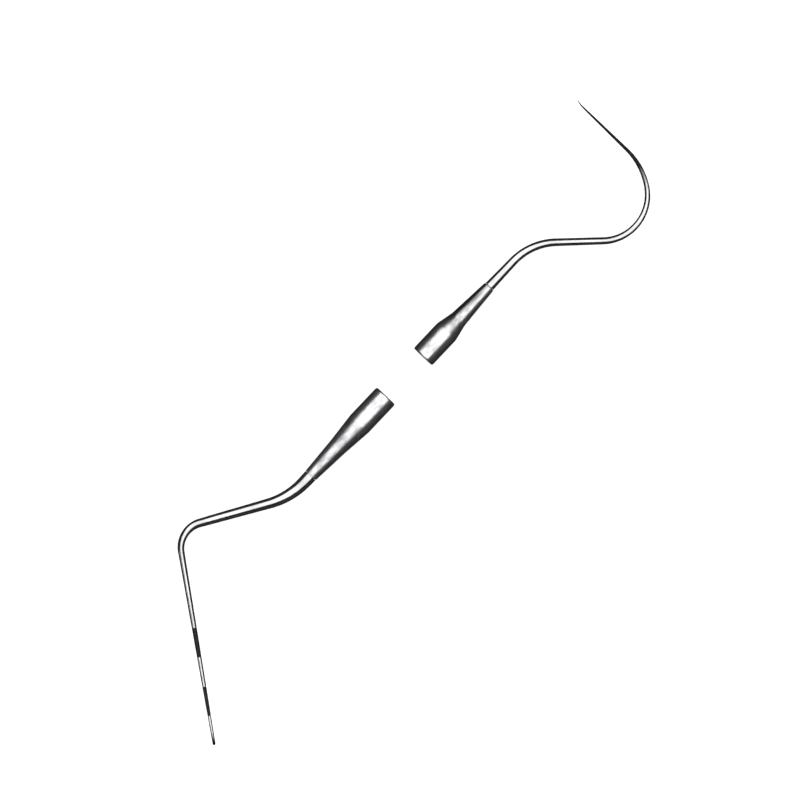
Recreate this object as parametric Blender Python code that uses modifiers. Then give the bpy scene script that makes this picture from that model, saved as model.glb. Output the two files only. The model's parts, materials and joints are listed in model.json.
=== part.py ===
"""The two working ends of a double-ended dental hand instrument, held apart as its handle would hold them.

One end is a hooked explorer and the other a depth probe with two black bands. Each end is a turned
steel collar that a handle would be fitted to, a bent and tapered steel wire whose root is a tenon in
the collar's blind bore, and the braze that fills the joint. The instrument lies flat: +X runs along
the handle's axis towards the explorer, the wires are bent in a level plane, and +Z is up. The origin
is under the middle of its footprint.
"""

import math
from collections import namedtuple

import bmesh
import bpy
from mathutils import Vector

MM = 0.001

# The space between the two butt faces, where the handle goes.
HANDLE_GAP = 5.4 * MM

# The barrels of both collars, which a handle is fitted to.
COLLAR_DIAMETER = 2.55 * MM
BUTT_CHAMFER = 0.12 * MM
MOUTH_CHAMFER = 0.02 * MM

# The joint between a wire and its collar.
TENON_LENGTH = 5.0 * MM
TENON_CHAMFER = 0.08 * MM
BRAZE_FILM = 0.06 * MM
BRAZE_SEAM = 0.08 * MM
DRILL_POINT_ANGLE = math.radians(118)

# The clearance that every solid keeps to its neighbours.
FIT = 0.02 * MM

# How deep the probe's bands are inlaid, flush with the rod.
BAND_DEPTH = 0.04 * MM

# How finely the round shapes are divided.
COLLAR_SIDES = 32
RING_SIDES = 24
WIRE_BEVEL_RESOLUTION = 6
BEND_STEP = math.radians(6.5)
BALL_STEPS = 4
BALL_LAST_ANGLE = math.radians(75)
STEP_RUN = 0.02 * MM
MERGE_DISTANCE = 0.001 * MM

# One line of a bend card: a straight run or a bend, and the diameter that the wire has at its end.
Stretch = namedtuple("Stretch", "length radius turn diameter")
# One working end. The collar is a barrel, a steep cone down to the neck, and a slender cone to the
# mouth, with all three places measured from the butt face. step is how far the wire's shoulder stands
# below the mouth all round. bands maps each band's name to where it begins and ends, from the tip.
End = namedtuple(
    "End",
    "name barrel_length neck_place neck_diameter collar_length mouth_diameter step tenon_diameter"
    " card round_tip bands",
)


def run(length, diameter):
    """A straight stretch of wire."""
    return Stretch(length, math.inf, 0.0, diameter)


def bend(radius, degrees, diameter):
    """A bent stretch, measured on the wire's centre line. A positive angle turns left, seen from above."""
    turn = math.radians(degrees)
    return Stretch(radius * abs(turn), radius, turn, diameter)


EXPLORER = End(
    name="explorer",
    barrel_length=3.5 * MM,
    neck_place=5.2 * MM,
    neck_diameter=1.80 * MM,
    collar_length=9.7 * MM,
    mouth_diameter=1.18 * MM,
    step=0.07 * MM,
    tenon_diameter=0.56 * MM,
    card=(
        run(3.45 * MM, 0.88 * MM),
        bend(6.2 * MM, -44.8, 0.79 * MM),
        run(4.8 * MM, 0.74 * MM),
        bend(4.6 * MM, 98.5, 0.55 * MM),
        bend(6.95 * MM, 35.6, 0.34 * MM),
        run(6.15 * MM, 0.20 * MM),
        bend(2.8 * MM, -20.0, 0.06 * MM),
    ),
    round_tip=False,
    bands={},
)
PROBE = End(
    name="probe",
    barrel_length=3.9 * MM,
    neck_place=7.0 * MM,
    neck_diameter=1.94 * MM,
    collar_length=11.0 * MM,
    mouth_diameter=1.42 * MM,
    step=0.02 * MM,
    tenon_diameter=0.80 * MM,
    card=(
        run(0.9 * MM, 1.33 * MM),
        bend(7.8 * MM, -30.9, 1.06 * MM),
        run(7.26 * MM, 0.90 * MM),
        bend(2.6 * MM, 84.0, 0.65 * MM),
        run(7.75 * MM, 0.52 * MM),
        run(12.0 * MM, 0.30 * MM),
    ),
    round_tip=True,
    bands={"probe_band_3_6": (3.0 * MM, 6.0 * MM), "probe_band_9_12": (9.0 * MM, 12.0 * MM)},
)


def clear_scene():
    """Removes whatever the scene held."""
    for item in list(bpy.data.objects):
        bpy.data.objects.remove(item)


def principled(name, colour, roughness, metallic):
    """A plain material."""
    material = bpy.data.materials.new(name)
    material.use_nodes = True
    shader = material.node_tree.nodes["Principled BSDF"]
    shader.inputs["Base Color"].default_value = (*colour, 1.0)
    shader.inputs["Roughness"].default_value = roughness
    shader.inputs["Metallic"].default_value = metallic
    return material


def wire_length(end):
    """From the wire's shoulder to its point."""
    return sum(stretch.length for stretch in end.card)


def shoulder_diameter(end):
    """The wire at the collar's mouth, a small step below it."""
    return end.mouth_diameter - 2 * end.step


def shoulder_place(end):
    """How far the wire's shoulder stands from the butt face."""
    return end.collar_length + BRAZE_SEAM


def bore_radius(end):
    """The collar's blind bore: the tenon, the braze around it, and a clearance on both sides of that."""
    return end.tenon_diameter / 2 + FIT + BRAZE_FILM + FIT


def place_along(end, distance):
    """The point and the heading of the wire's centre line, that far from its shoulder."""
    point = Vector((shoulder_place(end), 0.0, 0.0))
    heading = 0.0
    for stretch in end.card:
        gone = min(distance, stretch.length)
        turn = stretch.turn * gone / stretch.length
        chord = 2 * stretch.radius * math.sin(abs(turn) / 2) if turn else gone
        middle = heading + turn / 2
        point += Vector((math.cos(middle), math.sin(middle), 0.0)) * chord
        heading += turn
        distance -= gone
        if distance <= 0:
            break
    return point, heading


def radius_along(end, distance):
    """The wire's own radius that far from its shoulder, before any groove."""
    diameter = shoulder_diameter(end)
    for stretch in end.card:
        if distance <= stretch.length:
            share = distance / stretch.length
            return (diameter + (stretch.diameter - diameter) * share) / 2
        distance -= stretch.length
        diameter = stretch.diameter
    return diameter / 2


def tenon_rings(end):
    """Distance and radius at each ring of the root that stands in the collar's bore."""
    radius = end.tenon_diameter / 2
    return [
        (-TENON_LENGTH, radius - TENON_CHAMFER),
        (TENON_CHAMFER - TENON_LENGTH, radius),
        (0.0, radius),
    ]


def shank_rings(end):
    """Distance and radius at each ring from the shoulder to the last stretch's end."""
    rings = [(STEP_RUN, radius_along(end, 0.0))]
    start = 0.0
    for stretch in end.card:
        steps = max(1, math.ceil(abs(stretch.turn) / BEND_STEP))
        for step in range(1, steps + 1):
            distance = start + stretch.length * step / steps
            rings.append((distance, radius_along(end, distance)))
        start += stretch.length
    return rings


def grooved(end, rings):
    """The rings with a shallow groove cut for each band."""
    floor = BAND_DEPTH + FIT
    for near, far in end.bands.values():
        start = wire_length(end) - far
        finish = wire_length(end) - near
        rings = [ring for ring in rings if not start - STEP_RUN < ring[0] < finish + STEP_RUN]
        rings += [
            (start - STEP_RUN, radius_along(end, start)),
            (start, radius_along(end, start) - floor),
            (finish, radius_along(end, finish) - floor),
            (finish + STEP_RUN, radius_along(end, finish)),
        ]
    return sorted(rings)


def rounded_tip(end, rings):
    """The rings with the flat end turned into a ball of the tip's own radius."""
    length, radius = rings[-1]
    ball = []
    for step in range(BALL_STEPS + 1):
        angle = BALL_LAST_ANGLE * step / BALL_STEPS
        ball.append((length - radius + radius * math.sin(angle), radius * math.cos(angle)))
    return rings[:-1] + ball


def bent_wire(end, material, parent):
    """The wire as a bevelled curve that follows the bend card, thinned by the card's diameters."""
    rings = tenon_rings(end) + grooved(end, shank_rings(end))
    if end.round_tip:
        rings = rounded_tip(end, rings)
    curve = bpy.data.curves.new(end.name + "_wire", "CURVE")
    curve.dimensions = "3D"
    curve.twist_mode = "Z_UP"
    curve.bevel_depth = max(radius for _, radius in rings)
    curve.bevel_resolution = WIRE_BEVEL_RESOLUTION
    curve.use_fill_caps = True
    spline = curve.splines.new("POLY")
    spline.points.add(len(rings) - 1)
    for point, (distance, radius) in zip(spline.points, rings):
        point.co = (*place_along(end, distance)[0], 1.0)
        point.radius = radius / curve.bevel_depth
    spline.use_smooth = True
    return add_piece(end.name + "_wire", curve, material, parent)


def turned(name, profile, sides, material, parent):
    """A piece turned about its own Z axis from (radius, height) pairs that run down its outer side."""
    outline = bmesh.new()
    corners = [outline.verts.new((radius, 0.0, height)) for radius, height in profile]
    closed = min(radius for radius, _ in profile) > 0
    for first, second in zip(corners, corners[1:] + corners[:1] if closed else corners[1:]):
        outline.edges.new((first, second))
    mesh = bpy.data.meshes.new(name)
    outline.to_mesh(mesh)
    outline.free()
    piece = add_piece(name, mesh, material, parent)
    screw = piece.modifiers.new("Turning", "SCREW")
    screw.axis = "Z"
    screw.steps = screw.render_steps = sides
    screw.use_merge_vertices = True
    screw.merge_threshold = MERGE_DISTANCE
    screw.use_smooth_shade = True
    return piece


def add_piece(name, data, material, parent):
    """A named object that carries its own material and hangs on its end's empty."""
    data.materials.append(material)
    piece = bpy.data.objects.new(name, data)
    piece.parent = parent
    parts.objects.link(piece)
    return piece


def lie_along(piece, point, heading):
    """Points a turned piece's own Z axis along that heading in the level plane."""
    piece.location = point
    piece.rotation_euler = (0.0, math.pi / 2, heading)


def turned_collar(end, material, parent):
    """The collar: a barrel and two cones outside, and a blind drilled bore for the tenon inside."""
    bore = bore_radius(end)
    bore_floor = shoulder_place(end) - TENON_LENGTH - FIT
    drill_point = bore_floor - bore / math.tan(DRILL_POINT_ANGLE / 2)
    mouth = end.mouth_diameter / 2
    barrel = COLLAR_DIAMETER / 2
    profile = [
        (0.0, drill_point),
        (bore, bore_floor),
        (bore, end.collar_length),
        (mouth - MOUTH_CHAMFER, end.collar_length),
        (mouth, end.collar_length - MOUTH_CHAMFER),
        (end.neck_diameter / 2, end.neck_place),
        (barrel, end.barrel_length),
        (barrel, BUTT_CHAMFER),
        (barrel - BUTT_CHAMFER, 0.0),
        (0.0, 0.0),
    ]
    collar = turned(end.name + "_collar", profile, COLLAR_SIDES, material, parent)
    lie_along(collar, Vector((0.0, 0.0, 0.0)), 0.0)
    return collar


def braze(end, material, parent):
    """The braze: a thin sleeve around the tenon, and a bead in the seam between collar and wire."""
    inner = end.tenon_diameter / 2 + FIT
    outer = inner + BRAZE_FILM
    bottom = shoulder_place(end) - TENON_LENGTH
    seam_bottom = end.collar_length + FIT
    seam_top = shoulder_place(end) - FIT
    profile = [
        (inner, bottom),
        (inner, seam_top),
        (shoulder_diameter(end) / 2, seam_top),
        (end.mouth_diameter / 2 - MOUTH_CHAMFER, seam_bottom),
        (outer, seam_bottom),
        (outer, bottom),
    ]
    sleeve = turned(end.name + "_braze", profile, RING_SIDES, material, parent)
    lie_along(sleeve, Vector((0.0, 0.0, 0.0)), 0.0)
    return sleeve


def band(end, name, material, parent):
    """One black band: a thin ring that fills its groove flush with the rod's taper."""
    near, far = end.bands[name]
    start = wire_length(end) - far + FIT
    height = far - near - 2 * FIT
    wide = radius_along(end, start)
    narrow = radius_along(end, start + height)
    profile = [
        (wide - BAND_DEPTH, 0.0),
        (narrow - BAND_DEPTH, height),
        (narrow, height),
        (wide, 0.0),
    ]
    ring = turned(name, profile, RING_SIDES, material, parent)
    point, heading = place_along(end, start)
    lie_along(ring, point, heading)
    return ring


def empty(name, parent, place, turn):
    """An empty that pieces are parented to."""
    holder = bpy.data.objects.new(name, None)
    holder.parent = parent
    holder.location = place
    holder.rotation_euler = (0.0, 0.0, turn)
    parts.objects.link(holder)
    return holder


def centre_over_origin(instrument, pieces):
    """Moves the instrument so that it stands at z = 0, with its footprint centred on the origin."""
    bpy.context.view_layer.update()
    graph = bpy.context.evaluated_depsgraph_get()
    corners = []
    for piece in pieces:
        evaluated = piece.evaluated_get(graph)
        corners += [evaluated.matrix_world @ vertex.co for vertex in evaluated.to_mesh().vertices]
        evaluated.to_mesh_clear()
    low = Vector([min(corner[axis] for corner in corners) for axis in range(3)])
    high = Vector([max(corner[axis] for corner in corners) for axis in range(3)])
    middle = (low + high) / 2
    instrument.location = (-middle.x, -middle.y, -low.z)


clear_scene()
parts = bpy.data.collections.new("dental_explorer_and_probe")
bpy.context.scene.collection.children.link(parts)

collar_steel = principled("collar_steel", (0.66, 0.67, 0.69), 0.30, 1.0)
wire_steel = principled("wire_steel", (0.72, 0.73, 0.75), 0.18, 1.0)
braze_silver = principled("braze_silver", (0.78, 0.74, 0.64), 0.35, 1.0)
band_black = principled("band_black", (0.02, 0.02, 0.022), 0.45, 0.0)

instrument = empty("instrument", None, (0.0, 0.0, 0.0), 0.0)
explorer_end = empty("explorer_end", instrument, (HANDLE_GAP / 2, 0.0, 0.0), 0.0)
probe_end = empty("probe_end", instrument, (-HANDLE_GAP / 2, 0.0, 0.0), math.pi)

pieces = []
for end, holder in ((EXPLORER, explorer_end), (PROBE, probe_end)):
    pieces.append(turned_collar(end, collar_steel, holder))
    pieces.append(bent_wire(end, wire_steel, holder))
    pieces.append(braze(end, braze_silver, holder))
    for band_name in end.bands:
        pieces.append(band(end, band_name, band_black, holder))

centre_over_origin(instrument, pieces)
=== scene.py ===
# %% [markdown]
# # The working ends of a double-ended dental instrument
# One end is an explorer, a wire bent into a hook with a needle point. The other is a depth probe, a
# blunt rod with two black bands. A handle would join their collars; here the space for it stays empty.
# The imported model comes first, because it says where everything is. It is solid but faceted, so this
# lesson makes each piece again, round and finished, in exactly the same place.

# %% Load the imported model
import json
import math
from collections import namedtuple

import bmesh
import bpy
from mathutils import Matrix, Vector


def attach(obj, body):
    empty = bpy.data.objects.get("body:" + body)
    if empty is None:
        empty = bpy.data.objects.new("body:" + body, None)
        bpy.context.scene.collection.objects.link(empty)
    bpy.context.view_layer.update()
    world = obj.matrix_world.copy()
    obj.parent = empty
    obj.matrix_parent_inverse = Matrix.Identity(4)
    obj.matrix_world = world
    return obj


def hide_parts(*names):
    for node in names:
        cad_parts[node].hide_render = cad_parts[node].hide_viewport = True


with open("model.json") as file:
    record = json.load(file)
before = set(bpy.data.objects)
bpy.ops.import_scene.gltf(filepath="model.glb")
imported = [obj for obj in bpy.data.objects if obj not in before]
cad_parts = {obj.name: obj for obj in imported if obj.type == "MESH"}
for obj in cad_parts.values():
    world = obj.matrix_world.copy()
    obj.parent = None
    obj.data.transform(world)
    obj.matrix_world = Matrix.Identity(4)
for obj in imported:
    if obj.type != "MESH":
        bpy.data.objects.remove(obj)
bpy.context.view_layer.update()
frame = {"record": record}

MM = 0.001

# %% [markdown]
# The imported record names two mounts, the flat butt faces that a handle would meet. Each working end
# is built outwards from its butt, so a place on an end is a distance from the butt and a heading.
# A face's axis points out of the metal, so the end itself runs the opposite way.

# %% Find the two butt faces
mounts = {mount["name"]: mount for mount in frame["record"]["mounts"]}


def end_frame(mount_name):
    """The matrix that carries an end drawn along +X from the world's origin to its own place."""
    mount = mounts[mount_name]
    heading = math.pi if mount["axis"][0] > 0 else 0.0
    return Matrix.Translation(mount["pos_m"]) @ Matrix.Rotation(heading, 4, "Z")


explorer_place = end_frame("explorer_butt")
probe_place = end_frame("probe_butt")
print("butts, mm:", explorer_place.translation / MM, probe_place.translation / MM)

# %% [markdown]
# The camera looks straight down, because the instrument is drawn lying flat, as in an atlas. A long
# lens keeps the two ends at the same scale. The picture is turned so that the handle's axis climbs
# to the upper right, and centred so that the hook and the probe's tip have the same room.

# %% Set up the camera
CLIMB = math.radians(46.6)
FIELD = 80.65 * MM
LENS = 200.0
SENSOR = 36.0
VIEW_CENTRE = Vector((1.94 * MM, 1.26 * MM, mounts["explorer_butt"]["pos_m"][2]))

camera_data = bpy.data.cameras.new("top_camera")
camera_data.lens = LENS
camera_data.sensor_width = SENSOR
camera = bpy.data.objects.new("top_camera", camera_data)
camera.location = VIEW_CENTRE + Vector((0.0, 0.0, FIELD * LENS / SENSOR))
camera.rotation_euler = (0.0, 0.0, -CLIMB)
bpy.context.scene.collection.objects.link(camera)
bpy.context.scene.camera = camera
print("camera height, mm:", round(camera.location.z / MM, 1))

# %% [markdown]
# The floor is a plain pale sheet, lit from within like a light table, so that shadows stay faint.
# Lamps alone could light it, but the shadows would be deeper. Glossy rays don't see it, because metal
# that mirrored a white sheet would lose its dark edges.

# %% Lay the floor
FLOOR_SIZE = 3.0
FLOOR_TONE = (0.9, 0.9, 0.9, 1.0)
FLOOR_ROUGHNESS = 0.9
GLOW_TONE = (1.0, 1.0, 1.0, 1.0)
GLOW_STRENGTH = 0.6

paper = bpy.data.materials.new("pale_paper")
paper.use_nodes = True
paper_shader = paper.node_tree.nodes["Principled BSDF"]
paper_shader.inputs["Base Color"].default_value = FLOOR_TONE
paper_shader.inputs["Roughness"].default_value = FLOOR_ROUGHNESS
paper_shader.inputs["Emission Color"].default_value = GLOW_TONE
paper_shader.inputs["Emission Strength"].default_value = GLOW_STRENGTH
sheet = bmesh.new()
bmesh.ops.create_grid(sheet, x_segments=1, y_segments=1, size=FLOOR_SIZE / 2)
floor_mesh = bpy.data.meshes.new("floor")
sheet.to_mesh(floor_mesh)
sheet.free()
floor_mesh.materials.append(paper)
floor = bpy.data.objects.new("floor", floor_mesh)
floor.visible_glossy = False
bpy.context.scene.collection.objects.link(floor)
print("floor, m across:", FLOOR_SIZE)

# %% [markdown]
# Polished steel has no look of its own: it shows what stands round it. One large oval softbox
# overhead draws the bright line along the middle of every wire. The oval is longest across the
# collars, which should look the broadest, and it leans a little, so the shading isn't quite even.
# Two smaller strips hang far beyond the ends of the instrument. From above the wires hardly mirror
# them, but from the side they round off the collars.

# %% Hang the lights
SOFTBOX_SIZE = (0.60, 1.65)
SOFTBOX_HEIGHT = 0.62
SOFTBOX_LEAN = math.radians(9)
SOFTBOX_POWER = 4.8
STRIP_REACH = 0.65
STRIP_SIZE = (0.3, 0.74)
STRIP_POWER = 2.0


def hang_light(name, shape, size, power, place):
    """A flat light facing along its own -Z, at the place that the matrix gives."""
    light_data = bpy.data.lights.new(name, "AREA")
    light_data.shape = shape
    light_data.size, light_data.size_y = size
    light_data.energy = power
    light = bpy.data.objects.new(name, light_data)
    light.matrix_world = place
    bpy.context.scene.collection.objects.link(light)
    print(name, "at, m:", [round(side, 2) for side in place.translation])


turn = Matrix.Rotation(-CLIMB, 4, "Z")
lean = turn @ Matrix.Rotation(-SOFTBOX_LEAN, 4, "X") @ turn.inverted()
above = Matrix.Translation((0.0, 0.0, SOFTBOX_HEIGHT))
hang_light("softbox", "ELLIPSE", SOFTBOX_SIZE, SOFTBOX_POWER, lean @ above)
for name, reach in (("explorer_strip", STRIP_REACH), ("probe_strip", -STRIP_REACH)):
    beyond = Matrix.Translation((reach, 0.0, 0.0))
    hang_light(name, "RECTANGLE", STRIP_SIZE, STRIP_POWER, beyond @ above)

# %% [markdown]
# The room draws the dark edges of the metal, so it is nearly black. Plain black would do for the view
# from above, but from the side the metal would then be almost black too. So the room is lighter past
# the two ends of the instrument, which the view from above hardly mirrors. Its tones go by height,
# given as the sine of the angle above the horizon, because that is the Z of a direction.

# %% Choose the tones of the room
SIDE_TONES = ((-1.0, 0.0), (-0.4, 0.03), (0.1, 0.06), (0.35, 0.04), (0.7, 0.0))
END_TONES = ((-1.0, 0.0), (-0.5, 0.10), (0.0, 0.28), (0.4, 0.50), (0.7, 0.0))
END_FROM = 0.82
END_TO = 0.92


def tone_ramp(tree, height, room_tones):
    """A ramp over the height, which runs from 0 straight down to 1 straight up."""
    ramp = tree.nodes.new("ShaderNodeValToRGB")
    while len(ramp.color_ramp.elements) < len(room_tones):
        ramp.color_ramp.elements.new(0.5)
    for element, (sine, tone) in zip(ramp.color_ramp.elements, room_tones):
        element.position = (sine + 1) / 2
        element.color = (tone, tone, tone, 1.0)
    tree.links.new(height, ramp.inputs["Fac"])
    return ramp.outputs["Color"]


print("brightest tone at the sides:", max(tone for sine, tone in SIDE_TONES))
print("brightest tone at the ends:", max(tone for sine, tone in END_TONES))

# %% [markdown]
# The world's shader knows only the direction it is asked about. Its Z picks a tone from each ramp, and
# its X says how much of the ends' ramp to mix in. The Standard view keeps the floor's white white.

# %% Build the room
world = bpy.data.worlds.new("studio")
world.use_nodes = True
room_tree = world.node_tree
direction = room_tree.nodes.new("ShaderNodeTexCoord")
split = room_tree.nodes.new("ShaderNodeSeparateXYZ")
room_tree.links.new(direction.outputs["Generated"], split.inputs["Vector"])
height = room_tree.nodes.new("ShaderNodeMapRange")
height.inputs["From Min"].default_value = -1.0
room_tree.links.new(split.outputs["Z"], height.inputs["Value"])
endways = room_tree.nodes.new("ShaderNodeMath")
endways.operation = "ABSOLUTE"
room_tree.links.new(split.outputs["X"], endways.inputs[0])
end_share = room_tree.nodes.new("ShaderNodeMapRange")
end_share.inputs["From Min"].default_value = END_FROM
end_share.inputs["From Max"].default_value = END_TO
room_tree.links.new(endways.outputs["Value"], end_share.inputs["Value"])
room = room_tree.nodes.new("ShaderNodeMix")
room.data_type = "RGBA"
room_tree.links.new(end_share.outputs["Result"], room.inputs["Factor"])
for socket, room_tones in (("A", SIDE_TONES), ("B", END_TONES)):
    tones = tone_ramp(room_tree, height.outputs["Result"], room_tones)
    room_tree.links.new(tones, room.inputs[socket])
room_tree.links.new(room.outputs["Result"], room_tree.nodes["Background"].inputs["Color"])
bpy.context.scene.world = world
bpy.context.scene.view_settings.view_transform = "Standard"
print("room shader nodes:", len(room_tree.nodes))

# %% [markdown]
# Every piece here is round about its own axis, even the wires, which are ground straight before they
# are bent. So one lathe makes them all. An outline is a list of corners, each with its distance from
# the butt, its radius and how far it is rounded. Its edges are subdivided, so that a wire can bend
# and the shading stays even, and then it is spun once round.

# %% Make the lathe
ROUND_STEPS = 72
RING_SPACING = 0.15 * MM
ROUNDING_SEGMENTS = 5
CLOSE = 0.0002 * MM
Corner = namedtuple("Corner", "along radius rounding", defaults=(0.0,))


def spin_outline(outline, closed=False):
    """A bmesh of the outline spun once round the X axis."""
    shape = bmesh.new()
    points = [shape.verts.new((corner.along, corner.radius, 0.0)) for corner in outline]
    followers = points[1:] + points[:1] if closed else points[1:]
    for first, second in zip(points, followers):
        shape.edges.new((first, second))
    for point, corner in zip(points, outline):
        if corner.rounding:
            bmesh.ops.bevel(
                shape,
                geom=[point],
                offset=corner.rounding,
                affect="VERTICES",
                segments=ROUNDING_SEGMENTS,
                profile=0.5,
                material=-1,
            )
    for edge in list(shape.edges):
        cuts = math.ceil(edge.calc_length() / RING_SPACING) - 1
        if cuts > 0:
            bmesh.ops.subdivide_edges(shape, edges=[edge], cuts=cuts)
    bmesh.ops.spin(
        shape,
        geom=shape.verts[:] + shape.edges[:],
        cent=(0.0, 0.0, 0.0),
        axis=(1.0, 0.0, 0.0),
        dvec=(0.0, 0.0, 0.0),
        angle=math.tau,
        steps=ROUND_STEPS,
        use_merge=True,
    )
    bmesh.ops.remove_doubles(shape, verts=shape.verts[:], dist=CLOSE)
    bmesh.ops.recalc_face_normals(shape, faces=shape.faces[:])
    return shape


print("lathe steps in a turn:", ROUND_STEPS)

# %% [markdown]
# A bend card is what a wire bender works from: straight runs and bends in order, each with the wire's
# diameter at its end. The wire's place at any distance is found by walking the card. A curve object
# with a bevel could follow the same path, but its ends and grooves couldn't be turned like the rest.

# %% Write bend cards and walk them
Stretch = namedtuple("Stretch", "length radius turn diameter")


def run(length, diameter):
    """A straight stretch."""
    return Stretch(length, math.inf, 0.0, diameter)


def bend(radius, degrees, diameter):
    """A bend along the centre line. A positive angle turns left, seen from above."""
    return Stretch(radius * math.radians(abs(degrees)), radius, math.radians(degrees), diameter)


def frame_along(card, start, distance):
    """The matrix of the centre line at that distance from the butt, on a wire that leaves at start."""
    left = distance - start
    place = Matrix.Translation((min(distance, start), 0.0, 0.0))
    for stretch in card:
        if left <= 0:
            break
        gone = min(left, stretch.length)
        turn = stretch.turn * gone / stretch.length
        chord = 2 * stretch.radius * math.sin(abs(turn) / 2) if turn else gone
        half = Matrix.Rotation(turn / 2, 4, "Z")
        place = place @ half @ Matrix.Translation((chord, 0.0, 0.0)) @ half
        left -= gone
    return place


quarter = bend(radius=2.0 * MM, degrees=90, diameter=0.5 * MM)
print("a quarter bend of 2 mm uses, mm:", round(quarter.length / MM, 2))

# %% [markdown]
# Bending carries each point of the straight wire to the frame at its own distance. Before that, each
# point is stamped with where it stood while the wire was straight, in millimetres. The finishes read
# that stamp, so the polishing lines follow the wire round its bends. A collar isn't bent, but it is
# stamped too, so that one set of finishes serves every piece.

# %% Stamp, bend and keep a piece
STAMP = "straight_mm"
SHARP_ANGLE = math.radians(35)
pieces = {}


def stamp_and_bend(shape, card=(), start=math.inf):
    """Stamps each point with its straight place, and then bends the shape along the card."""
    stamp = shape.verts.layers.float_vector.new(STAMP)
    for point in shape.verts:
        point[stamp] = point.co / MM
        place = frame_along(card, start, point.co.x)
        point.co = place @ Vector((0.0, point.co.y, point.co.z))


def keep_piece(name, node, shape, end_place):
    """Puts a shape at its end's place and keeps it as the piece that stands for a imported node."""
    bmesh.ops.transform(shape, matrix=end_place, verts=shape.verts[:])
    mesh = bpy.data.meshes.new(name)
    shape.to_mesh(mesh)
    shape.free()
    mesh.shade_smooth()
    mesh.set_sharp_from_angle(angle=SHARP_ANGLE)
    piece = bpy.data.objects.new(name, mesh)
    bpy.context.scene.collection.objects.link(piece)
    pieces[node] = piece
    print(name, "faces:", len(mesh.polygons))


print("pieces kept so far:", len(pieces))

# %% [markdown]
# The fit between the parts is worth drawing, although it is hidden: a tenon on the wire stands in a
# drilled bore of the collar, and a film of braze fills the space round it. Both ends share it.

# %% Set the sizes of the joint
COLLAR_RADIUS = 1.275 * MM
BUTT_CHAMFER = 0.12 * MM
MOUTH_CHAMFER = 0.02 * MM
TENON_LENGTH = 5.0 * MM
TENON_CHAMFER = 0.08 * MM
BRAZE_FILM = 0.06 * MM
BRAZE_SEAM = 0.08 * MM
DRILL_POINT = math.radians(59)  # half the angle at the point of a common drill
FIT = 0.02 * MM
BAND_DEPTH = 0.04 * MM
print("bore wider than its tenon, mm:", round(2 * (FIT + BRAZE_FILM + FIT) / MM, 2))

# %% [markdown]
# Each end has its own collar and its own bend card. Places are measured from the butt, and the step
# is how much the wire is thinner than the collar's mouth, on the radius.

# %% Set the sizes of the two ends
End = namedtuple(
    "End",
    "place barrel_length neck_place neck_radius collar_length mouth_radius step tenon_radius card",
)
explorer = End(
    place=explorer_place,
    barrel_length=3.5 * MM,
    neck_place=5.2 * MM,
    neck_radius=0.90 * MM,
    collar_length=9.7 * MM,
    mouth_radius=0.59 * MM,
    step=0.07 * MM,
    tenon_radius=0.28 * MM,
    card=(
        run(3.45 * MM, 0.88 * MM),
        bend(6.2 * MM, -44.8, 0.79 * MM),
        run(4.8 * MM, 0.74 * MM),
        bend(4.6 * MM, 98.5, 0.55 * MM),
        bend(6.95 * MM, 35.6, 0.34 * MM),
        run(6.15 * MM, 0.20 * MM),
        bend(2.8 * MM, -20.0, 0.06 * MM),
    ),
)
probe = End(
    place=probe_place,
    barrel_length=3.9 * MM,
    neck_place=7.0 * MM,
    neck_radius=0.97 * MM,
    collar_length=11.0 * MM,
    mouth_radius=0.71 * MM,
    step=0.02 * MM,
    tenon_radius=0.40 * MM,
    card=(
        run(0.9 * MM, 1.33 * MM),
        bend(7.8 * MM, -30.9, 1.06 * MM),
        run(7.26 * MM, 0.90 * MM),
        bend(2.6 * MM, 84.0, 0.65 * MM),
        run(7.75 * MM, 0.52 * MM),
        run(12.0 * MM, 0.30 * MM),
    ),
)
ends = {"explorer": explorer, "probe": probe}


def shoulder(end):
    """How far the wire's shoulder stands from the butt."""
    return end.collar_length + BRAZE_SEAM


def wire_end(end):
    """How far the wire's point is from the butt, along the wire."""
    return shoulder(end) + sum(stretch.length for stretch in end.card)


for title, end in ends.items():
    print(title, "from butt to tip along the wire, mm:", round(wire_end(end) / MM, 2))

# %% [markdown]
# A collar is turned from bar: a plain barrel for the handle to grip, a steep cone and then a slender
# one down to the mouth. The edges between them are slightly rounded, as polished edges are. It could
# be a stack of cylinders and cones, but one outline gives the bore, the mouth and the outside at once.

# %% Turn the two collars
BARREL_ROUNDING = 0.10 * MM
NECK_ROUNDING = 0.06 * MM
BUTT_ROUNDING = 0.05 * MM


def collar_outline(end):
    """From the tip of the drilled bore, out over the mouth and down the outside to the butt."""
    bore = end.tenon_radius + FIT + BRAZE_FILM + FIT
    floor_place = shoulder(end) - TENON_LENGTH - FIT
    return [
        Corner(floor_place - bore / math.tan(DRILL_POINT), 0.0),
        Corner(floor_place, bore),
        Corner(end.collar_length, bore),
        Corner(end.collar_length, end.mouth_radius - MOUTH_CHAMFER),
        Corner(end.collar_length - MOUTH_CHAMFER, end.mouth_radius),
        Corner(end.neck_place, end.neck_radius, NECK_ROUNDING),
        Corner(end.barrel_length, COLLAR_RADIUS, BARREL_ROUNDING),
        Corner(BUTT_CHAMFER, COLLAR_RADIUS, BUTT_ROUNDING),
        Corner(0.0, COLLAR_RADIUS - BUTT_CHAMFER, BUTT_ROUNDING),
        Corner(0.0, 0.0),
    ]


for title, end in ends.items():
    collar = spin_outline(collar_outline(end))
    stamp_and_bend(collar)
    keep_piece("turned_" + title + "_collar", title + "_collar", collar, end.place)

# %% [markdown]
# The braze is a sleeve round the tenon, and at the mouth a bead that slopes from the collar's edge
# down to the wire. Surface tension pulls such a bead hollow, so its profile is a quarter of an oval.
# It could be left out as nearly too small to see, but then there would be a gap at the mouth.

# %% Pour the braze
BEAD_POINTS = 6


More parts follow.
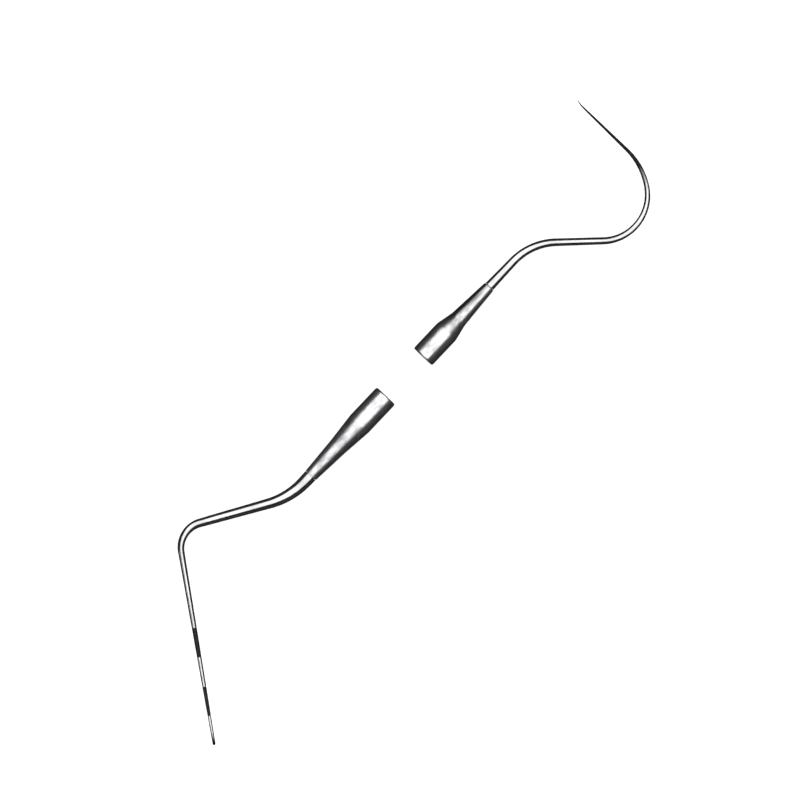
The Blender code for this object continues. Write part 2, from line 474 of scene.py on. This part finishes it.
def braze_outline(end):
    """A closed outline: up the inside of the sleeve, over the bead, and back down the outside."""
    inner = end.tenon_radius + FIT
    outer = inner + BRAZE_FILM
    low = end.collar_length + FIT
    high = shoulder(end) - FIT
    wide = end.mouth_radius - MOUTH_CHAMFER
    thin = end.mouth_radius - end.step
    bead = []
    for step in range(BEAD_POINTS + 1):
        angle = math.pi / 2 * step / BEAD_POINTS
        along = high - (high - low) * math.sin(angle)
        bead.append(Corner(along, wide - (wide - thin) * math.cos(angle)))
    bottom = shoulder(end) - TENON_LENGTH
    inside = [Corner(bottom, inner), Corner(high, inner)]
    outside = [Corner(low, outer), Corner(bottom, outer)]
    return inside + bead + outside


for title, end in ends.items():
    sleeve = spin_outline(braze_outline(end), closed=True)
    stamp_and_bend(sleeve)
    keep_piece(title + "_braze_bead", title + "_braze", sleeve, end.place)

# %% [markdown]
# The wires are ground to their taper while they are straight. The card gives a diameter only at the
# end of each stretch, so the radius is averaged over a short window, and the taper has no kinks to
# break the highlight.

# %% Work out the taper
TAPER_WINDOW = 1.2 * MM
WINDOW_SAMPLES = 9


def carded_radius(end, distance):
    """The wire's radius there by the card alone, in straight tapers."""
    left = distance - shoulder(end)
    diameter = 2 * (end.mouth_radius - end.step)
    for stretch in end.card:
        share = min(max(left / stretch.length, 0.0), 1.0)
        diameter += (stretch.diameter - diameter) * share
        left -= stretch.length
        if left <= 0:
            break
    return diameter / 2


def ground_radius(end, distance):
    """The radius there with the taper's kinks smoothed out, left as carded at both ends."""
    room = min(distance - shoulder(end), wire_end(end) - distance)
    reach = min(TAPER_WINDOW, max(room, 0.0))
    shifts = [reach * (2 * sample / (WINDOW_SAMPLES - 1) - 1) for sample in range(WINDOW_SAMPLES)]
    return sum(carded_radius(end, distance + shift) for shift in shifts) / WINDOW_SAMPLES


for title, end in ends.items():
    across = 2 * ground_radius(end, shoulder(end))
    print(title, "wire across at its shoulder, mm:", round(across / MM, 2))

# %% [markdown]
# A wire's outline runs from the tenon over the shoulder and down the taper to a rounded tip. The
# probe's rod gets a shallow groove under each band. The grooves could be cut afterwards with a
# Boolean, but on an outline they are only four corners each, and the mesh stays clean.

# %% Draw the outline of a wire
GRIND_SPACING = 0.3 * MM
STEP_RUN = 0.02 * MM
TIP_POINTS = 10
BANDS = {"probe_band_3_6": (3.0 * MM, 6.0 * MM), "probe_band_9_12": (9.0 * MM, 12.0 * MM)}


def groove_corners(end, near, far):
    """The four corners of a band's groove, measured back from the tip."""
    start = wire_end(end) - far
    finish = wire_end(end) - near
    floor_depth = BAND_DEPTH + FIT
    return [
        Corner(start - STEP_RUN, ground_radius(end, start)),
        Corner(start, ground_radius(end, start) - floor_depth),
        Corner(finish, ground_radius(end, finish) - floor_depth),
        Corner(finish + STEP_RUN, ground_radius(end, finish)),
    ]


def wire_outline(end, bands):
    """The tenon, the shoulder, the long taper with its grooves, and a rounded tip."""
    begin = shoulder(end)
    outline = [
        Corner(begin - TENON_LENGTH, 0.0),
        Corner(begin - TENON_LENGTH, end.tenon_radius - TENON_CHAMFER),
        Corner(begin - TENON_LENGTH + TENON_CHAMFER, end.tenon_radius),
        Corner(begin, end.tenon_radius),
    ]
    tip_radius = end.card[-1].diameter / 2
    taper_end = wire_end(end) - tip_radius
    steps = math.ceil((taper_end - begin) / GRIND_SPACING)
    taper = []
    for step in range(steps + 1):
        along = begin + STEP_RUN + (taper_end - begin - STEP_RUN) * step / steps
        taper.append(Corner(along, ground_radius(end, along)))
    for near, far in bands:
        groove = groove_corners(end, near, far)
        low, high = groove[0].along, groove[-1].along
        taper = [corner for corner in taper if not low <= corner.along <= high] + groove
    taper.sort(key=lambda corner: corner.along)
    outline += taper
    for step in range(1, TIP_POINTS + 1):
        angle = math.pi / 2 * step / TIP_POINTS
        outline.append(
            Corner(taper_end + tip_radius * math.sin(angle), taper[-1].radius * math.cos(angle))
        )
    return outline


print("grooves in the probe's rod:", len(BANDS))

# %% [markdown]
# The two wires are spun straight, which is how they are ground, and bent afterwards by their cards.

# %% Grind and bend the two wires
for title, end, bands in (("explorer", explorer, ()), ("probe", probe, BANDS.values())):
    wire = spin_outline(wire_outline(end, bands))
    stamp_and_bend(wire, end.card, shoulder(end))
    keep_piece("polished_" + title + "_wire", title + "_wire", wire, end.place)

# %% [markdown]
# Each band is made as filler pressed into its groove and rubbed down flush. It could be painted on the
# rod instead, but then it would be no piece of its own. The ring has the rod's own taper on its
# outside, so it is turned and bent exactly as the rod is.

# %% Fill the bands
def band_outline(end, near, far):
    """A closed outline of one band's ring, a clearance inside its groove."""
    start = wire_end(end) - far + FIT
    finish = wire_end(end) - near - FIT
    wide = ground_radius(end, start)
    narrow = ground_radius(end, finish)
    return [
        Corner(start, wide - BAND_DEPTH),
        Corner(finish, narrow - BAND_DEPTH),
        Corner(finish, narrow),
        Corner(start, wide),
    ]


for node, (near, far) in BANDS.items():
    ring = spin_outline(band_outline(probe, near, far), closed=True)
    stamp_and_bend(ring, probe.card, shoulder(probe))
    keep_piece("filled_" + node, node, ring, probe.place)

# %% [markdown]
# All finishes start from the stamp, stretched by a Mapping node: a large scale along the piece and a
# small one round it gives rings, such as a lathe tool leaves, and the other way gives hairlines along
# the wire, such as a polishing belt leaves. One noise makes both. Most of its values lie between 0.3
# and 0.7, so that is the range that gets remapped.

# %% Start a finish and give it a grain
NOISE_LOW = 0.3
NOISE_HIGH = 0.7


def new_finish(name, metallic):
    """A material, its node tree to add to, and its shader. Metallic is 1 for metal and 0 for resin."""
    material = bpy.data.materials.new(name)
    material.use_nodes = True
    shader = material.node_tree.nodes["Principled BSDF"]
    shader.inputs["Metallic"].default_value = metallic
    return material, material.node_tree, shader


def straight_place(tree):
    """Where each point stood on the straight piece, in millimetres."""
    stamp = tree.nodes.new("ShaderNodeAttribute")
    stamp.attribute_name = STAMP
    return stamp.outputs["Vector"]


def grain(tree, along, around, detail=2.0):
    """Noise stretched by how many times it changes in a millimetre along the piece and round it."""
    stretch = tree.nodes.new("ShaderNodeMapping")
    stretch.inputs["Scale"].default_value = (along, around, around)
    noise = tree.nodes.new("ShaderNodeTexNoise")
    noise.inputs["Scale"].default_value = 1.0
    noise.inputs["Detail"].default_value = detail
    tree.links.new(straight_place(tree), stretch.inputs["Vector"])
    tree.links.new(stretch.outputs["Vector"], noise.inputs["Vector"])
    return noise.outputs["Fac"]


def spread(tree, source, low, high, source_low=NOISE_LOW, source_high=NOISE_HIGH):
    """The source remapped to run from low to high, and held there beyond its own two ends."""
    remap = tree.nodes.new("ShaderNodeMapRange")
    remap.inputs["From Min"].default_value = source_low
    remap.inputs["From Max"].default_value = source_high
    remap.inputs["To Min"].default_value = low
    remap.inputs["To Max"].default_value = high
    tree.links.new(source, remap.inputs["Value"])
    return remap.outputs["Result"]


print("the finishes read the stamp:", STAMP)

# %% [markdown]
# A finish varies in three ways: its colour, its roughness and its relief. Colours are mixed by a
# grain, and relief is a stack of bumps, each a few thousandths of a millimetre deep.

# %% Mix colours and raise relief
Layer = namedtuple("Layer", "source depth strength")


def mix(tree, share, dark, light):
    """One colour turning into another. Either may be three numbers or another node's output."""
    blend = tree.nodes.new("ShaderNodeMix")
    blend.data_type = "RGBA"
    tree.links.new(share, blend.inputs["Factor"])
    for socket, colour in (("A", dark), ("B", light)):
        if isinstance(colour, tuple):
            blend.inputs[socket].default_value = (*colour, 1.0)
        else:
            tree.links.new(colour, blend.inputs[socket])
    return blend.outputs["Result"]


def relief(tree, shader, layers):
    """Bumps, one over another."""
    normal = None
    for layer in layers:
        bump = tree.nodes.new("ShaderNodeBump")
        bump.inputs["Distance"].default_value = layer.depth
        bump.inputs["Strength"].default_value = layer.strength
        tree.links.new(layer.source, bump.inputs["Height"])
        if normal:
            tree.links.new(normal, bump.inputs["Normal"])
        normal = bump.outputs["Normal"]
    tree.links.new(normal, shader.inputs["Normal"])


print("a layer of relief has:", ", ".join(Layer._fields))

# %% [markdown]
# Beyond the barrel one flank of a collar is painted darker, in streaks. This is painted shade, like an
# artist's shading, and stands for nothing known on the metal. It could be painted by hand, but the
# stamp already says where the flank is: with the distance along the axis taken away and the rest made
# one long, its Y is 1 on the flank's edge and -1 opposite.

# %% Paint shade onto one flank
FLANK_FROM = 3.6
FLANK_TO = 5.4
FLANK_EDGE = (-0.25, 0.6)
STREAK_REACH = 0.25
BARREL_SHARE = 0.15


def flank_side(tree):
    """How far round the piece a point is, from 1 on the flank's edge to -1 opposite."""
    across = tree.nodes.new("ShaderNodeVectorMath")
    across.operation = "MULTIPLY"
    across.inputs[1].default_value = (0.0, 1.0, 1.0)
    outward = tree.nodes.new("ShaderNodeVectorMath")
    outward.operation = "NORMALIZE"
    side = tree.nodes.new("ShaderNodeSeparateXYZ")
    tree.links.new(straight_place(tree), across.inputs[0])
    tree.links.new(across.outputs["Vector"], outward.inputs[0])
    tree.links.new(outward.outputs["Vector"], side.inputs["Vector"])
    return side.outputs["Y"]


def distance_along(tree):
    """The distance from the butt on the straight piece, in millimetres."""
    place = tree.nodes.new("ShaderNodeSeparateXYZ")
    tree.links.new(straight_place(tree), place.inputs["Vector"])
    return place.outputs["X"]


def painted_shade_share(tree, streaks, darkest):
    """How much of the painted shade on the flank a point has, from 0 to darkest."""
    streaky = tree.nodes.new("ShaderNodeMath")
    streaky.operation = "ADD"
    tree.links.new(flank_side(tree), streaky.inputs[0])
    tree.links.new(spread(tree, streaks, -STREAK_REACH, STREAK_REACH), streaky.inputs[1])
    flank = spread(tree, streaky.outputs["Value"], 0.0, darkest, *FLANK_EDGE)
    beyond_barrel = spread(tree, distance_along(tree), BARREL_SHARE, 1.0, FLANK_FROM, FLANK_TO)
    amount = tree.nodes.new("ShaderNodeMath")
    amount.operation = "MULTIPLY"
    tree.links.new(flank, amount.inputs[0])
    tree.links.new(beyond_barrel, amount.inputs[1])
    return amount.outputs["Value"]


print("flank darkens between, mm from the butt:", FLANK_FROM, FLANK_TO)

# %% [markdown]
# The collars keep the fine rings of the lathe tool under a light polish, with soft smudges such as
# handling leaves on steel. One plain grey would be simpler, but nothing in it would show how a collar
# is made. The painted shade on one flank is strong on the explorer's collar and only a trace on the
# probe's.

# %% Finish the collars
TURNED_DARK = (0.38, 0.38, 0.39)
TURNED_BRIGHT = (0.80, 0.80, 0.81)
TURNED_ROUGHEST = 0.36
TURNED_SMOOTHEST = 0.27
# Painted shade on one flank: its colour, and how strongly each collar gets it.
PAINTED_SHADE_TONE = (0.12, 0.12, 0.125)
EXPLORER_PAINTED_SHADE = 0.85
PROBE_PAINTED_SHADE = 0.15


def turned(name, darkest):
    """Satin turned steel with rings, smudges and painted shade on one flank."""
    material, tree, shader = new_finish(name, metallic=1.0)
    rings = grain(tree, along=14.0, around=0.35)
    smudges = grain(tree, along=1.2, around=2.8, detail=5.0)
    streaks = grain(tree, along=0.45, around=5.0, detail=3.0)
    smudged = mix(tree, spread(tree, smudges, 0.0, 1.0), TURNED_DARK, TURNED_BRIGHT)
    # Painted shade on one flank, mixed over the smudged steel.
    shaded = mix(tree, painted_shade_share(tree, streaks, darkest), smudged, PAINTED_SHADE_TONE)
    tree.links.new(shaded, shader.inputs["Base Color"])
    smoothed = spread(tree, smudges, TURNED_ROUGHEST, TURNED_SMOOTHEST)
    tree.links.new(smoothed, shader.inputs["Roughness"])
    ring_relief = Layer(rings, depth=0.004 * MM, strength=0.5)
    streak_relief = Layer(streaks, depth=0.006 * MM, strength=0.5)
    relief(tree, shader, [ring_relief, streak_relief])
    return material


collar_finishes = {
    "explorer_collar": turned("explorer_turned_steel", EXPLORER_PAINTED_SHADE),
    "probe_collar": turned("probe_turned_steel", PROBE_PAINTED_SHADE),
}
print("collar finishes:", len(collar_finishes))

# %% [markdown]
# The wires are ground and polished smoother than the collars, along their length. The needle of the
# explorer and the last of the probe are painted nearly black, as catalogues draw them: this is painted
# shade. Real points are usually bright, so it is a choice of looks and not a known finish. The
# distance along the wire says where the painted shade begins. A material of its own could do it, but
# it would end in a hard edge.

# %% Finish the wires
POLISHED_DARK = (0.44, 0.44, 0.45)
POLISHED_BRIGHT = (0.62, 0.62, 0.63)
# Painted shade: the near black of the explorer's needle and the probe's tip.
POINT_PAINTED_SHADE = (0.015, 0.015, 0.017)
POLISHED_SMOOTHEST = 0.12
POLISHED_ROUGHEST = 0.22
NEEDLE_FROM = 30.0
NEEDLE_TO = 33.0
TIP_FROM = 45.6
TIP_TO = 46.5


def polished(name, dark_from, dark_to):
    """Bright steel with fine lines along it, with painted shade between two distances from the butt in
    mm.
    """
    material, tree, shader = new_finish(name, metallic=1.0)
    belt_lines = grain(tree, along=0.35, around=16.0)
    clouds = grain(tree, along=0.6, around=0.9, detail=3.0)
    bright = mix(tree, spread(tree, clouds, 0.0, 1.0), POLISHED_DARK, POLISHED_BRIGHT)
    # Painted shade darkens the point between the two distances.
    point_shade_share = spread(tree, distance_along(tree), 0.0, 1.0, dark_from, dark_to)
    tree.links.new(mix(tree, point_shade_share, bright, POINT_PAINTED_SHADE), shader.inputs["Base Color"])
    brushed = spread(tree, belt_lines, POLISHED_SMOOTHEST, POLISHED_ROUGHEST)
    tree.links.new(brushed, shader.inputs["Roughness"])
    relief(tree, shader, [Layer(belt_lines, depth=0.002 * MM, strength=0.4)])
    return material


wire_finishes = {
    "explorer_wire": polished("explorer_steel", NEEDLE_FROM, NEEDLE_TO),
    "probe_wire": polished("probe_steel", TIP_FROM, TIP_TO),
}
print("wire finishes:", len(wire_finishes))

# %% [markdown]
# Silver braze is a little warmer in colour than steel and sets with a faintly rippled skin. So it
# gets a metal of its own, with one grain for its colour, its roughness and its relief.

# %% Finish the braze
BRAZE_DARK = (0.62, 0.60, 0.54)
BRAZE_BRIGHT = (0.80, 0.78, 0.72)
BRAZE_SMOOTHEST = 0.25
BRAZE_ROUGHEST = 0.38

silver_braze, tree, shader = new_finish("silver_braze", metallic=1.0)
ripples = grain(tree, along=12.0, around=8.0)
rippled = mix(tree, spread(tree, ripples, 0.0, 1.0), BRAZE_DARK, BRAZE_BRIGHT)
tree.links.new(rippled, shader.inputs["Base Color"])
tree.links.new(spread(tree, ripples, BRAZE_SMOOTHEST, BRAZE_ROUGHEST), shader.inputs["Roughness"])
relief(tree, shader, [Layer(ripples, depth=0.004 * MM, strength=0.5)])
print("braze finish:", silver_braze.name)

# %% [markdown]
# The filler is a black resin, rubbed down satin, with a few grey scuffs along the rod. Its specular
# level is below the usual 0.5, because a shiny band would mirror the softbox and turn grey.

# %% Finish the bands
FILLER_BLACK = (0.006, 0.006, 0.006)
FILLER_SCUFFED = (0.05, 0.05, 0.05)
SCUFFS_FROM = 0.45
SCUFFS_TO = 0.85
FILLER_SMOOTHEST = 0.32
FILLER_ROUGHEST = 0.5
FILLER_SPECULAR = 0.2

black_filler, tree, shader = new_finish("black_filler", metallic=0.0)
shader.inputs["Specular IOR Level"].default_value = FILLER_SPECULAR
scuffs = grain(tree, along=1.5, around=12.0, detail=3.0)
scuff_share = spread(tree, scuffs, 0.0, 1.0, SCUFFS_FROM, SCUFFS_TO)
tree.links.new(mix(tree, scuff_share, FILLER_BLACK, FILLER_SCUFFED), shader.inputs["Base Color"])
tree.links.new(spread(tree, scuffs, FILLER_SMOOTHEST, FILLER_ROUGHEST), shader.inputs["Roughness"])
relief(tree, shader, [Layer(scuffs, depth=0.002 * MM, strength=0.5)])
print("band finish:", black_filler.name)

# %% [markdown]
# The record says which material slot each node wears. Each slot gets its finish, and every piece
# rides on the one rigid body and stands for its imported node.

# %% Dress the pieces and hang them on the frame
finishes = {**collar_finishes, **wire_finishes}
for title in ends:
    finishes[title + "_braze"] = silver_braze
for node in BANDS:
    finishes[node] = black_filler
for part in frame["record"]["subparts"]:
    piece = pieces[part["node"]]
    piece.data.materials.append(finishes[part["node"]])
    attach(piece, "root")
    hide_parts(part["node"])
print("pieces:", len(pieces))
